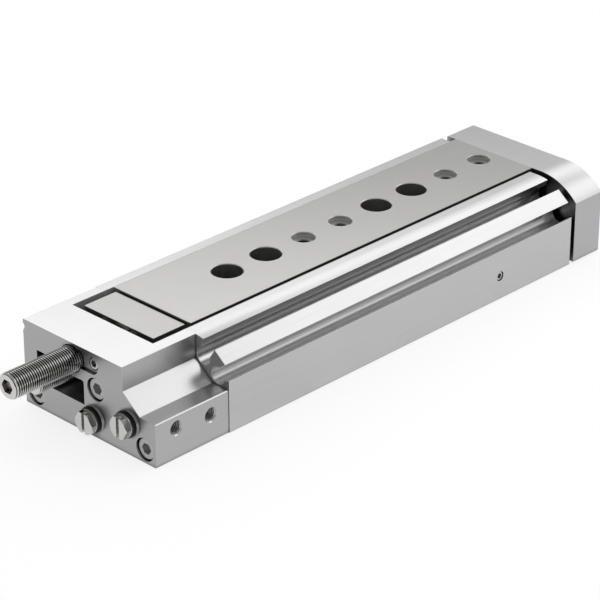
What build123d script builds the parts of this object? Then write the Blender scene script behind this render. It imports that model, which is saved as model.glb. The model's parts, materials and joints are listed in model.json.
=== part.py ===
"""Pneumatic slide table: a compact air cylinder beside a ball-guided steel slide.

Axes: +X is the advance direction, towards the yoke plate. -Y is the side with the
two sensor slots and the air ports. +Z is up. The origin is the middle of the base.
Sizes are in millimetres.
"""
import math
import os

from build123d import *

os.makedirs("parts", exist_ok=True)

# Housing and end cap
housing_width = 69.2
housing_height = 33.5
housing_length = 187.6
end_cap_length = 34.9
end_cap_inset = 0.3
edge_break = 0.35
side_groove_radius = 1.6
side_groove_depth = 1.1
side_groove_drop = 3.0

# Rounded shoulder and the two sensor slots along it
shoulder_radius = 23.9
shoulder_centre_inset = 18.3
land_low_height = 25.0
land_high_inset = 7.6
slot_cavity_radius = 3.4
slot_opening = 5.2
slot_flare = 6.5
side_slot_inset = 5.5
side_slot_height = 21.1
side_slot_angle = 151.0
top_slot_inset = 12.7
top_slot_height = 26.1
top_slot_angle = 116.0
slot_neck_overlap = 0.05
slot_entry_radius = 4.3
slot_entry_depth = 6.5

# Stepped outline of the end cap
ledge_height = 17.2
ledge_depth = 8.25
slant_top_height = 24.0
slant_top_depth = 16.7

# Slide and its ball guide
slide_offset = 8.5
slide_width = 40.4
slide_proud = 0.6
slide_length = 186.4
slide_height = 10.2
slide_plate_thickness = 3.7
slide_body_width = 24.4
slide_floor_gap = 0.4
slide_side_gap = 1.0
rail_width = 7.0
rail_top_gap = 0.5
rail_end_gap = 1.0
rail_chamfer = 0.3
ball_diameter = 3.0
ball_clearance = 0.05
ball_count = 9
ball_pitch = 8.0
ball_floor_distance = 3.5
cage_thickness = 1.1
cage_height = 4.8
cage_length = 78.0
cage_pocket_clearance = 0.12
stroke = 100.0

# Hole pattern along the slide and under it
hole_pitch = 20.0
first_hole_from_slide_end = 37.8
hole_line_offset = 8.75
access_hole_diameter = 12.0
hole_chamfer = 0.25
centring_diameter = 9.0
centring_depth = 2.1
slide_thread_diameter = 5.0
base_bolt_clearance_diameter = 6.6
base_bolt_head_recess = 11.0
base_bolt_seat_height = 4.9
hole_line_count = 8

# Yoke plate
yoke_gap = 2.4
yoke_thickness = 15.7
yoke_bottom_height = 0.5
yoke_left_inset = 1.3
yoke_shoulder_radius = 24.5
yoke_mount_offset = 8.0
yoke_mount_thread_diameter = 5.0
yoke_mount_spacing_y = 40.0
yoke_mount_spacing_z = 16.0
yoke_mount_low_height = 8.5
yoke_mount_depth = 12.0
yoke_screw_spacing = 16.0
yoke_screw_floor_distance = 4.5
yoke_pin_spacing = 30.0
yoke_pin_drop = 1.9
yoke_pin_diameter = 2.0
yoke_pin_length = 10.0
yoke_pin_in_yoke = 4.0

# Cylinder
bore_diameter = 12.0
bore_inset = 13.8
bore_height = 12.0
rod_diameter = 6.0
piston_length = 22.0
piston_clearance = 0.08
piston_end_gap = 2.5
spigot_length = 4.0
bearing_cap_length = 48.0
bearing_cap_recess = 2.5
rod_clearance = 0.05
fit_gap = 0.03
rod_bush_thickness = 1.0
rod_bush_length = 16.0
rod_seal_thickness = 1.8
rod_seal_length = 4.0
seal_ring_width = 2.4
seal_groove_depth = 2.0
seal_end_distance = 2.5
magnet_width = 4.0
bore_seal_width = 1.6
rod_socket_depth = 12.0
bearing_groove_clearance = 0.5
bearing_groove_depth = 0.8
bearing_seal_distance = 2.6

# Air passages and ports
port_thread_diameter = 5.0
port_chamfer = 0.55
port_thread_depth = 7.0
port_rear_distance = 9.85
port_rear_height = 12.1
port_front_distance = 26.3
port_front_height = 10.7
passage_diameter = 3.0
housing_passage_diameter = 2.4
housing_passage_inset = 3.2
housing_passage_height = 14.6
housing_passage_length = 133.0
passage_seal_diameter = 4.4
passage_seal_thickness = 0.9
cross_passage_diameter = 2.0

# Plugs in the two rear ports
plug_inner_offset = -1.9
plug_inner_height = 6.95
plug_outer_offset = -20.1
plug_outer_height = 12.4
plug_passage_diameter = 2.6
plug_head_across_flats = 8.0
plug_head_height = 2.95
plug_head_chamfer = 0.6
plug_collar_diameter = 9.2
plug_collar_thickness = 0.6
plug_slot_width = 1.5
plug_slot_depth = 1.5
plug_shank_length = 5.5
plug_seal_diameter = 10.2
plug_seal_thickness = 1.9
plug_seal_edge_radius = 0.5
plug_seal_rim_diameter = 10.6
plug_seal_rim_thickness = 0.45

# Screws that hold the end cap
cap_screw_diameter = 5.0
cap_screw_head_diameter = 8.2
cap_screw_head_height = 5.0
cap_screw_recess_diameter = 9.0
cap_screw_recess_depth = 5.8
cap_screw_hole_diameter = 5.5
cap_screw_bite = 12.0
cap_screw_socket = 4.0
head_edge_radius = 0.4
cap_screw_side_inset = 6.05
cap_screw_low_height = 5.3
cap_screw_mid_offset = -3.8
cap_screw_mid_drop = 4.2

# Adjustable stops
stop_thread_diameter = 10.0
stop_thread_clearance = 0.05
stop_chamfer = 0.55
stop_socket = 5.0
stop_socket_depth = 5.5
buffer_diameter = 6.0
buffer_seat_depth = 2.0
buffer_out = 0.6
retract_stop_offset = 8.8
retract_stop_floor_distance = 3.5
retract_stop_out = 29.0
retract_stop_mouth_diameter = 10.7
retract_stop_mouth_depth = 1.5
stop_contact_gap = 0.3
advance_stop_offset = 18.4
advance_stop_drop = 5.6
advance_stop_out = 10.4
advance_stop_adjust = 10.0
advance_buffer_reach = 0.5
stop_pad_diameter = 9.0
stop_pad_thickness = 3.0

# Screw that locks the rear stop, beside it in the same recess
lock_recess_diameter = 7.2
lock_recess_depth = 1.2
lock_screw_offset = -1.9
lock_screw_floor_distance = 4.9
lock_screw_diameter = 5.0
lock_screw_length = 10.0
lock_screw_socket = 2.5
lock_screw_socket_depth = 2.5

# Pocket and window in the end cap, and the stop block that moves in them
pocket_depth_along = 15.5
window_right_offset = 2.4
window_left_offset = 27.3
window_bottom_drop = 12.55
window_step_drop = 3.1
window_step_offset = 13.0
window_corner_radius = 1.0
lower_channel_left_offset = 24.9
block_width = 36.3
block_top_drop = 0.9
block_rear_gap = 3.0
block_groove_width = 0.9
block_groove_depth = 1.2
block_leg_gap = 0.85
block_neck_gap = 0.4
block_screw_spacing = 15.0
block_screw_floor_distance = 5.1

# Small screws
m5_clearance_diameter = 5.5
m5_head_diameter = 8.5
m5_head_height = 5.0
m5_head_recess_diameter = 9.4
m5_head_recess_depth = 5.6
m5_socket = 4.0
m4_diameter = 4.0
m4_clearance_diameter = 4.5
m4_head_diameter = 7.0
m4_head_height = 4.0
m4_head_recess_diameter = 7.6
m4_head_recess_depth = 4.4
m4_socket = 3.0
m3_diameter = 3.0
m3_clearance_diameter = 3.3
m3_head_diameter = 5.5
m3_head_height = 3.0
m3_head_recess_diameter = 5.7
m3_head_recess_depth = 3.3
m3_socket = 2.5
socket_depth_share = 0.5
yoke_screw_bite = 12.0
block_screw_bite = 10.0
rod_screw_bite = 12.0
piston_screw_bite = 8.0
tap_extra_depth = 1.0
break_through = 1.0
rail_screw_bite = 5.0
rail_screw_outset = 0.4
rail_screw_pitch = 50.0
rail_screw_count = 4
bearing_screw_diameter = 4.0
bearing_screw_distance = 42.3
bearing_screw_height = 10.0
bearing_screw_sunk = 0.4
bearing_screw_socket = 2.0

# Stations along X
base_length = end_cap_length + housing_length
rear_x = -base_length / 2
front_x = base_length / 2
joint_x = rear_x + end_cap_length
rail_mid_x = (joint_x + front_x) / 2
bearing_screw_x = front_x - bearing_screw_distance
yoke_rear_x = front_x + yoke_gap
yoke_front_x = yoke_rear_x + yoke_thickness
slide_rear_x = yoke_rear_x - slide_length
pocket_rear_x = joint_x - pocket_depth_along
block_rear_x = pocket_rear_x + block_rear_gap
hole_xs = [slide_rear_x + first_hole_from_slide_end + i * hole_pitch for i in range(hole_line_count)]
access_xs = [x for i, x in enumerate(hole_xs) if i % 4 < 2]
thread_xs = [x for i, x in enumerate(hole_xs) if i % 4 >= 2]

# Heights of the slide and its channel, which hang from the housing's top
slide_top_height = housing_height + slide_proud
slide_bottom_height = slide_top_height - slide_height
slide_plate_bottom = slide_top_height - slide_plate_thickness
slide_body_height = slide_plate_bottom - slide_bottom_height
channel_floor_height = slide_bottom_height - slide_floor_gap
rail_top_height = slide_plate_bottom - rail_top_gap
rail_height = rail_top_height - channel_floor_height
block_top_height = slide_top_height - block_top_drop
yoke_pin_height = slide_top_height - yoke_pin_drop
side_groove_height = housing_height - side_groove_drop

# Heights measured from the channel's floor
ball_height = channel_floor_height + ball_floor_distance
retract_stop_height = channel_floor_height + retract_stop_floor_distance
lock_screw_height = channel_floor_height + lock_screw_floor_distance
block_screw_height = channel_floor_height + block_screw_floor_distance
yoke_screw_height = channel_floor_height + yoke_screw_floor_distance
advance_stop_height = channel_floor_height - advance_stop_drop
window_step_height = channel_floor_height - window_step_drop
window_bottom_height = channel_floor_height - window_bottom_drop
cap_screw_mid_height = channel_floor_height - cap_screw_mid_drop

# Stations across Y
side_y = -housing_width / 2
far_side_y = housing_width / 2
bore_y = side_y + bore_inset
channel_half = slide_width / 2 + slide_side_gap
rail_inner_half = channel_half - rail_width
ball_half = (slide_body_width / 2 + rail_inner_half) / 2
rail_screw_half = rail_inner_half + rail_width / 2 + rail_screw_outset
ball_track_radius = ball_diameter / 2 + ball_clearance
cap_screw_half = housing_width / 2 - cap_screw_side_inset
shoulder_centre_y = side_y + shoulder_centre_inset
shoulder_centre_z = housing_height - shoulder_radius
cap_side_y = side_y + end_cap_inset
cap_far_side_y = far_side_y - end_cap_inset

# Places of the end cap's screws across the section
cap_screw_places = [
    (-cap_screw_half, cap_screw_low_height),
    (cap_screw_half, cap_screw_low_height),
    (cap_screw_mid_offset, cap_screw_mid_height),
]

# Stroke limits: the moving stop stud meets the pad when it is screwed fully in
advance_buffer_x = slide_rear_x + advance_buffer_reach
stop_pad_x = advance_buffer_x + stroke + advance_stop_adjust + stop_contact_gap
retract_buffer_x = block_rear_x - stop_contact_gap
piston_rear_x = joint_x + spigot_length + piston_end_gap
piston_front_x = piston_rear_x + piston_length
bearing_front_x = front_x - bearing_cap_recess
bearing_rear_x = bearing_front_x - bearing_cap_length


def finish(part, label):
    """Name a finished piece and write it to its own file."""
    part.label = label
    export_step(part, f"parts/{label}.step")


def section(x, y=0.0, z=0.0):
    """Plane across the table at a station along X: right is +Y and up is +Z."""
    return Plane(origin=(x, y, z), x_dir=(0, 1, 0), z_dir=(1, 0, 0))


def side_section(x, y, z):
    """Plane parallel to the table's side, facing into it along +Y."""
    return Plane(origin=(x, y, z), x_dir=(1, 0, 0), z_dir=(0, 1, 0))


def bore_section(x):
    """Plane that holds the bore's axis, for revolved pieces: right is +X and up is +Z."""
    return Plane(origin=(x, bore_y, bore_height), x_dir=(1, 0, 0), z_dir=(0, -1, 0))


def shoulder_height(centre_y, centre_z, radius, y):
    """Height of the rounded shoulder above a point across the width."""
    return centre_z + math.sqrt(radius**2 - (centre_y - y) ** 2)


def socket_screw(seat_x, y, z, direction, sizes, bite):
    """Socket head screw along X: seat_x is under the head, direction is where the shank goes."""
    diameter, head_diameter, head_height, socket = sizes
    seat = Plane(origin=(seat_x, y, z), x_dir=(0, 1, 0), z_dir=(direction, 0, 0))
    with BuildPart(mode=Mode.PRIVATE) as screw:
        with BuildSketch(seat):
            Circle(head_diameter / 2)
        extrude(amount=-head_height)
        crown = screw.faces().sort_by(Axis.X)[0 if direction > 0 else -1]
        fillet(crown.edges(), head_edge_radius)
        with BuildSketch(seat.offset(-head_height)):
            RegularPolygon(socket / math.sqrt(3), 6)
        extrude(amount=head_height * socket_depth_share, mode=Mode.SUBTRACT)
        with BuildSketch(seat):
            Circle(diameter / 2 - fit_gap)
        extrude(amount=bite)
    return screw.part


def stop_stud(rear, front, y, z):
    """Threaded stop stud along X: a hexagon socket behind and the seat of its buffer in front."""
    rear_plane = section(rear, y, z)
    with BuildPart(mode=Mode.PRIVATE) as stud:
        with BuildSketch(rear_plane):
            Circle(stop_thread_diameter / 2)
        extrude(amount=front - rear)
        chamfer(stud.edges().filter_by(GeomType.CIRCLE), stop_chamfer)
        with BuildSketch(rear_plane):
            RegularPolygon(stop_socket / math.sqrt(3), 6)
        extrude(amount=stop_socket_depth, mode=Mode.SUBTRACT)
        with BuildSketch(section(front, y, z)):
            Circle(buffer_diameter / 2)
        extrude(amount=-buffer_seat_depth, mode=Mode.SUBTRACT)
    return stud.part


def round_bar(start, length, y, z, radius, hole_radius=0.0):
    """Plain round bar or ring along X."""
    with BuildPart(mode=Mode.PRIVATE) as bar:
        with BuildSketch(section(start, y, z)):
            Circle(radius)
            if hole_radius:
                Circle(hole_radius, mode=Mode.SUBTRACT)
        extrude(amount=length)
    return bar.part


# Housing: an aluminium profile with a rounded shoulder, two sensor slots and a slide channel
profile_plane = section(joint_x, 0, 0)
land_high_y = side_y + land_high_inset
land_high_z = shoulder_height(shoulder_centre_y, shoulder_centre_z, shoulder_radius, land_high_y)
slot_centres = [
    (side_y + side_slot_inset, side_slot_height, side_slot_angle),
    (side_y + top_slot_inset, top_slot_height, top_slot_angle),
]
neck_start = math.sqrt(slot_cavity_radius**2 - (slot_opening / 2) ** 2) - slot_neck_overlap
neck_length = slot_cavity_radius * 2
neck_mouth_half = slot_opening / 2 + neck_length * math.tan(math.radians(slot_flare))
neck_corners = [
    (neck_start, -slot_opening / 2),
    (neck_start + neck_length, -neck_mouth_half),
    (neck_start + neck_length, neck_mouth_half),
    (neck_start, slot_opening / 2),
]

with BuildPart() as housing:
    with BuildSketch(profile_plane):
        with BuildLine():
            foot = Line((side_y, 0), (side_y, land_low_height))
            land = Line(foot @ 1, (land_high_y, land_high_z))
            shoulder = RadiusArc(land @ 1, (shoulder_centre_y, housing_height), shoulder_radius)
            Polyline(shoulder @ 1, (far_side_y, housing_height), (far_side_y, 0), foot @ 0)
        make_face()
    extrude(amount=housing_length)
    chamfer(
        housing.edges().filter_by(Axis.X).group_by(Axis.Y)[-1]
        + housing.edges().filter_by(Axis.X).group_by(Axis.Z)[0].sort_by(Axis.Y)[0:1],
        edge_break,
    )
    # Channel for the slide and its rails
    with BuildSketch(section(joint_x, slide_offset, channel_floor_height)):
        Rectangle(2 * channel_half, housing_height, align=(Align.CENTER, Align.MIN))
    extrude(amount=housing_length, mode=Mode.SUBTRACT)
    # Lower channel for the stop block's leg and the moving stop stud
    with BuildSketch(section(joint_x, window_right_offset, window_bottom_height)):
        Rectangle(
            lower_channel_left_offset - window_right_offset,
            channel_floor_height - window_bottom_height,
            align=(Align.MIN, Align.MIN),
        )
    extrude(amount=stop_pad_x - joint_x, mode=Mode.SUBTRACT)
    with BuildSketch(section(stop_pad_x, advance_stop_offset, advance_stop_height)):
        Circle(stop_pad_diameter / 2)
    extrude(amount=stop_pad_thickness, mode=Mode.SUBTRACT)
    # Sensor slots, each a round cavity behind a narrower flared mouth, opened out at the front end
    for centre_y, centre_z, angle in slot_centres:
        slot_plane = section(joint_x, centre_y, centre_z)
        with BuildSketch(slot_plane):
            Circle(slot_cavity_radius)
            Polygon(*neck_corners, rotation=angle, align=None)
        extrude(amount=housing_length, mode=Mode.SUBTRACT)
        with BuildSketch(slot_plane.offset(housing_length)):
            Circle(slot_entry_radius)
        extrude(amount=-slot_entry_depth, mode=Mode.SUBTRACT)
    # Cylinder bore and the passage that feeds its front chamber
    with BuildSketch(section(joint_x, bore_y, bore_height)):
        Circle(bore_diameter / 2)
    extrude(amount=housing_length, mode=Mode.SUBTRACT)
    passage_y = side_y + housing_passage_inset
    cross_passage_x = joint_x + housing_passage_length - housing_passage_diameter
    with BuildSketch(section(joint_x, passage_y, housing_passage_height)):
        Circle(housing_passage_diameter / 2)
    extrude(amount=housing_passage_length, mode=Mode.SUBTRACT)
    with BuildSketch(side_section(cross_passage_x, passage_y, housing_passage_height)):
        Circle(cross_passage_diameter / 2)
    extrude(amount=bore_inset - housing_passage_inset - bore_diameter / 4, mode=Mode.SUBTRACT)
    # Seat of the set screw that holds the bearing cap
    with BuildSketch(side_section(bearing_screw_x, side_y, bearing_screw_height)):
        Circle(bearing_screw_diameter / 2)
    extrude(amount=bore_inset - bore_diameter / 2 + break_through, mode=Mode.SUBTRACT)
    # Holes that bolt the housing down, reached through the slide
    for x in access_xs:
        with BuildSketch(Plane.XY):
            with Locations((x, hole_line_offset)):
                Circle(base_bolt_clearance_diameter / 2)
        extrude(amount=housing_height, mode=Mode.SUBTRACT)
        with BuildSketch(Plane.XY.offset(base_bolt_seat_height)):
            with Locations((x, hole_line_offset)):
                Circle(base_bolt_head_recess / 2)
        extrude(amount=housing_height, mode=Mode.SUBTRACT)
    # Centring holes in the base face
    with BuildSketch(Plane.XY):
        with Locations(*[(x, hole_line_offset) for x in thread_xs[:2]]):
            Circle(centring_diameter / 2)
    extrude(amount=centring_depth, mode=Mode.SUBTRACT)
    # Tapped holes for the rail screws
    with BuildSketch(Plane.XY.offset(channel_floor_height)):
        with Locations((rail_mid_x, slide_offset)):
            with GridLocations(rail_screw_pitch, 2 * rail_screw_half, rail_screw_count, 2):
                Circle(m3_diameter / 2)
    extrude(amount=-rail_screw_bite - tap_extra_depth, mode=Mode.SUBTRACT)
    # Tapped holes for the end cap screws
    with BuildSketch(profile_plane):
        with Locations(*cap_screw_places):
            Circle(cap_screw_diameter / 2)
    extrude(amount=cap_screw_bite + tap_extra_depth, mode=Mode.SUBTRACT)
    # Shallow groove along the plain side
    with BuildSketch(
        section(joint_x, far_side_y + side_groove_radius - side_groove_depth, side_groove_height)
    ):
        Circle(side_groove_radius)
    extrude(amount=housing_length, mode=Mode.SUBTRACT)
finish(housing.part, "housing")

# End cap: stepped block that closes the profile and carries the ports and the rear stop
cap_plane = section(rear_x, 0, 0)
ledge_y = side_y + ledge_depth
slant_y = side_y + slant_top_depth
bore_plane = section(joint_x, bore_y, bore_height)
port_places = [
    (rear_x + port_rear_distance, port_rear_height, plug_outer_offset, plug_outer_height),
    (rear_x + port_front_distance, port_front_height, plug_inner_offset, plug_inner_height),
]

with BuildPart() as end_cap:
    with BuildSketch(cap_plane):
        with BuildLine():
            Polyline(
                (cap_side_y, 0),
                (cap_side_y, ledge_height),
                (ledge_y, ledge_height),
                (slant_y, slant_top_height),
                (slant_y, housing_height),
                (cap_far_side_y, housing_height),
                (cap_far_side_y, 0),
                close=True,
            )
        make_face()
    extrude(amount=end_cap_length)
    long_edges = end_cap.edges().filter_by(Axis.X)
    chamfer(long_edges.group_by(Axis.Y)[-1] + long_edges.group_by(Axis.Y)[0], edge_break)
    # Spigot that closes the bore, with a groove for its seal
    with BuildSketch(bore_plane):
        Circle(bore_diameter / 2 - fit_gap)
    extrude(amount=spigot_length)
    with BuildSketch(bore_plane.offset(spigot_length / 2 - bore_seal_width / 2)):
        Circle(bore_diameter / 2)
        Circle(bore_diameter / 2 - bore_seal_width, mode=Mode.SUBTRACT)
    extrude(amount=bore_seal_width, mode=Mode.SUBTRACT)
    # Pocket for the stop block, in line with the housing's channel
    with BuildSketch(section(joint_x, slide_offset, channel_floor_height)):
        Rectangle(2 * channel_half, housing_height, align=(Align.CENTER, Align.MIN))
    extrude(amount=-pocket_depth_along, mode=Mode.SUBTRACT)
    # Window for the moving stop, lower where the rear stop passes above it
    with BuildSketch(cap_plane):
        with BuildLine():
            Polyline(
                (window_right_offset, window_bottom_height),
                (window_right_offset, window_step_height),
                (window_step_offset, window_step_height),
                (window_step_offset, channel_floor_height),
                (window_left_offset, channel_floor_height),
                (window_left_offset, window_bottom_height),
                close=True,
            )
        window = make_face()
        right_corners = window.vertices().sort_by(Axis.X)[:2]
        fillet(right_corners.sort_by(Axis.Y)[-1], window_corner_radius)
    extrude(amount=end_cap_length, mode=Mode.SUBTRACT)
    # Threaded hole of the rear stop, its mouth and the recess of the lock screw beside it
    with BuildSketch(cap_plane):
        with Locations((retract_stop_offset, retract_stop_height)):
            Circle(stop_thread_diameter / 2 + stop_thread_clearance)
    extrude(amount=retract_buffer_x - rear_x, mode=Mode.SUBTRACT)
    with BuildSketch(cap_plane):
        with Locations((retract_stop_offset, retract_stop_height)):
            Circle(retract_stop_mouth_diameter / 2)
    extrude(amount=retract_stop_mouth_depth, mode=Mode.SUBTRACT)
    with BuildSketch(cap_plane):
        with Locations((lock_screw_offset, lock_screw_height)):
            Circle(lock_recess_diameter / 2)
        with Locations(((lock_screw_offset + retract_stop_offset) / 2, lock_screw_height)):
            Rectangle(retract_stop_offset - lock_screw_offset, lock_recess_diameter)
    extrude(amount=lock_recess_depth, mode=Mode.SUBTRACT)
    with BuildSketch(cap_plane):
        with Locations((lock_screw_offset, lock_screw_height)):
            Circle(lock_screw_diameter / 2)
    extrude(amount=lock_recess_depth + lock_screw_length, mode=Mode.SUBTRACT)
    # Counterbored holes for the screws into the housing
    with BuildSketch(cap_plane):
        with Locations(*cap_screw_places):
            Circle(cap_screw_hole_diameter / 2)
    extrude(amount=end_cap_length, mode=Mode.SUBTRACT)
    with BuildSketch(cap_plane):
        with Locations(*cap_screw_places):
            Circle(cap_screw_recess_diameter / 2)
    extrude(amount=cap_screw_recess_depth, mode=Mode.SUBTRACT)
    # Air ports: one side port and one rear port for each chamber
    for x, z, plug_y, plug_z in port_places:
        port_plane = side_section(x, cap_side_y, z)
        with BuildSketch(port_plane):
            Circle(port_thread_diameter / 2)
        extrude(amount=port_thread_depth, mode=Mode.SUBTRACT)
        with BuildSketch(port_plane):
            Circle(port_thread_diameter / 2 + port_chamfer)
        extrude(amount=port_chamfer, taper=45, mode=Mode.SUBTRACT)
        with BuildSketch(port_plane):
            Circle(passage_diameter / 2)
        extrude(amount=plug_y - cap_side_y, mode=Mode.SUBTRACT)
        with BuildSketch(cap_plane):
            with Locations((plug_y, plug_z)):
                Circle(port_thread_diameter / 2)
        extrude(amount=plug_shank_length + tap_extra_depth, mode=Mode.SUBTRACT)
        # The rear port's passage slopes to meet the side port's
        passage_start = Vector(rear_x, plug_y, plug_z)
        passage_run = Vector(x, plug_y, z) - passage_start
        with BuildSketch(Plane(origin=passage_start, x_dir=(0, 1, 0), z_dir=passage_run)):
            Circle(plug_passage_diameter / 2)
        extrude(amount=passage_run.length, mode=Mode.SUBTRACT)
    # Passages into the two chambers
    with BuildSketch(bore_plane.offset(spigot_length)):
        Circle(passage_diameter / 2)
    extrude(amount=port_front_distance - end_cap_length - spigot_length, mode=Mode.SUBTRACT)
    with BuildSketch(profile_plane):
        with Locations((passage_y, housing_passage_height)):
            Circle(housing_passage_diameter / 2)
    extrude(amount=port_rear_distance - end_cap_length, mode=Mode.SUBTRACT)
    with BuildSketch(profile_plane):
        with Locations((passage_y, housing_passage_height)):
            Circle(passage_seal_diameter / 2)
    extrude(amount=-passage_seal_thickness, mode=Mode.SUBTRACT)
    # Shallow groove along the plain side
    with BuildSketch(cap_plane):
        with Locations((far_side_y + side_groove_radius - side_groove_depth, side_groove_height)):
            Circle(side_groove_radius)
    extrude(amount=end_cap_length, mode=Mode.SUBTRACT)
finish(end_cap.part, "end_cap")

# Screws of the end cap, sunk in their counterbores
cap_screw_sizes = (cap_screw_diameter, cap_screw_head_diameter, cap_screw_head_height, cap_screw_socket)
cap_screws = [
    socket_screw(rear_x + cap_screw_recess_depth, y, z, 1, cap_screw_sizes,
                 end_cap_length - cap_screw_recess_depth + cap_screw_bite)
    for y, z in cap_screw_places
]
finish(Compound(children=cap_screws), "end_cap_screws")

# Plugs of the rear ports: chamfered hexagon with a slot, collar and threaded shank, on a rimmed seal
plugs = []
plug_seals = []
for _, _, plug_y, plug_z in port_places:
    plug_plane = Plane(origin=(rear_x, plug_y, plug_z), x_dir=(0, 1, 0), z_dir=(-1, 0, 0))
    head_plane = plug_plane.offset(plug_seal_thickness)
    with BuildPart(mode=Mode.PRIVATE) as plug:
        with BuildSketch(head_plane):
            RegularPolygon(plug_head_across_flats / math.sqrt(3), 6)
        extrude(amount=plug_head_height)
        with BuildSketch(head_plane.offset(plug_head_height)):
            Circle(plug_head_across_flats / math.sqrt(3) - plug_head_chamfer)
        extrude(amount=-plug_head_height, taper=-60, mode=Mode.INTERSECT)
        with BuildSketch(head_plane):
            Circle(plug_collar_diameter / 2)
        extrude(amount=plug_collar_thickness)
        with BuildSketch(head_plane.offset(plug_head_height)):
            Rectangle(plug_slot_width, 2 * plug_head_across_flats)
        extrude(amount=-plug_slot_depth, mode=Mode.SUBTRACT)
        with BuildSketch(head_plane):
            Circle(port_thread_diameter / 2 - fit_gap)
        extrude(amount=-plug_shank_length - plug_seal_thickness)
    plugs.append(plug.part)
    with BuildPart(mode=Mode.PRIVATE) as seal:
        with BuildSketch(plug_plane):
            Circle(plug_seal_rim_diameter / 2)
        extrude(amount=plug_seal_rim_thickness)
        with BuildSketch(plug_plane):
            Circle(plug_seal_diameter / 2)
        extrude(amount=plug_seal_thickness)
        fillet(seal.faces().sort_by(Axis.X)[0].edges(), plug_seal_edge_radius)
        with BuildSketch(plug_plane):
            Circle(port_thread_diameter / 2)
        extrude(amount=plug_seal_thickness, mode=Mode.SUBTRACT)
    plug_seals.append(seal.part)
finish(Compound(children=plugs), "port_plugs")
finish(Compound(children=plug_seals), "port_plug_seals")

# Stops: the rear one stays in the end cap, the lower one travels with the slide
buffer_length = buffer_seat_depth + buffer_out
for label, rear, buffer_x, y, z in (
    ("retract_stop", rear_x - retract_stop_out, retract_buffer_x, retract_stop_offset, retract_stop_height),
    ("advance_stop", rear_x - advance_stop_out, advance_buffer_x, advance_stop_offset, advance_stop_height),
):
    finish(stop_stud(rear, buffer_x - buffer_out, y, z), f"{label}_stud")
    buffer = round_bar(buffer_x - buffer_length, buffer_length, y, z, buffer_diameter / 2)
    finish(buffer, f"{label}_buffer")

stop_pad = round_bar(stop_pad_x, stop_pad_thickness, advance_stop_offset, advance_stop_height,
                     stop_pad_diameter / 2)
finish(stop_pad, "stop_pad")

# Set screws
with BuildPart() as lock_screw:
    lock_plane = cap_plane.offset(lock_recess_depth)
    with BuildSketch(lock_plane):
        with Locations((lock_screw_offset, lock_screw_height)):
            Circle(lock_screw_diameter / 2 - fit_gap)
    extrude(amount=lock_screw_length)
    chamfer(lock_screw.faces().sort_by(Axis.X)[0].edges(), head_edge_radius)
    with BuildSketch(lock_plane):
        with Locations((lock_screw_offset, lock_screw_height)):
            RegularPolygon(lock_screw_socket / math.sqrt(3), 6)
    extrude(amount=lock_screw_socket_depth, mode=Mode.SUBTRACT)
finish(lock_screw.part, "stop_lock_screw")

bearing_screw_tip = bore_y - bore_diameter / 2 + bearing_groove_depth / 2
with BuildPart() as bearing_screw:
    screw_plane = side_section(bearing_screw_x, side_y + bearing_screw_sunk, bearing_screw_height)
    with BuildSketch(screw_plane):
        Circle(bearing_screw_diameter / 2 - fit_gap)
    extrude(amount=bearing_screw_tip - side_y - bearing_screw_sunk)
    chamfer(bearing_screw.faces().sort_by(Axis.Y)[0].edges(), head_edge_radius)
    with BuildSketch(screw_plane):
        RegularPolygon(bearing_screw_socket / math.sqrt(3), 6)
    extrude(amount=bearing_screw_diameter * socket_depth_share, mode=Mode.SUBTRACT)
finish(bearing_screw.part, "bearing_lock_screw")

# Guide rails with a ball track each, and the screws that hold them to the channel floor
rail_start_x = joint_x + rail_end_gap
rail_length = housing_length - 2 * rail_end_gap
for side, label in ((-1, "right"), (1, "left")):
    rail_y = slide_offset + side * (rail_inner_half + rail_width / 2)
    track_y = slide_offset + side * ball_half
    with BuildPart() as rail:
        with BuildSketch(section(rail_start_x, rail_y, channel_floor_height)):
            Rectangle(rail_width, rail_height, align=(Align.CENTER, Align.MIN))
        extrude(amount=rail_length)
        chamfer(rail.edges().filter_by(Axis.X).group_by(Axis.Z)[-1], rail_chamfer)
        with BuildSketch(section(rail_start_x, track_y, ball_height)):
            Circle(ball_track_radius)
        extrude(amount=rail_length, mode=Mode.SUBTRACT)
        screw_line = Plane(origin=(rail_mid_x, slide_offset + side * rail_screw_half, rail_top_height))
        with BuildSketch(screw_line):
            with GridLocations(rail_screw_pitch, 0, rail_screw_count, 1):
                Circle(m3_clearance_diameter / 2)
        extrude(amount=-rail_height, mode=Mode.SUBTRACT)
        with BuildSketch(screw_line):
            with GridLocations(rail_screw_pitch, 0, rail_screw_count, 1):
                Circle(m3_head_recess_diameter / 2)
        extrude(amount=-m3_head_recess_depth, mode=Mode.SUBTRACT)
    finish(rail.part, f"guide_rail_{label}")

with BuildPart() as rail_screws:
    seat = Plane(origin=(rail_mid_x, slide_offset, rail_top_height - m3_head_recess_depth))
    with BuildSketch(seat):
        with GridLocations(rail_screw_pitch, 2 * rail_screw_half, rail_screw_count, 2):
            Circle(m3_head_diameter / 2)
    extrude(amount=m3_head_height)
    with BuildSketch(seat.offset(m3_head_height)):
        with GridLocations(rail_screw_pitch, 2 * rail_screw_half, rail_screw_count, 2):
            RegularPolygon(m3_socket / math.sqrt(3), 6)
    extrude(amount=-m3_head_height * socket_depth_share, mode=Mode.SUBTRACT)
    with BuildSketch(seat):
        with GridLocations(rail_screw_pitch, 2 * rail_screw_half, rail_screw_count, 2):
            Circle(m3_diameter / 2 - fit_gap)
    extrude(amount=-(rail_height - m3_head_recess_depth + rail_screw_bite))
finish(rail_screws.part, "rail_screws")

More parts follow.
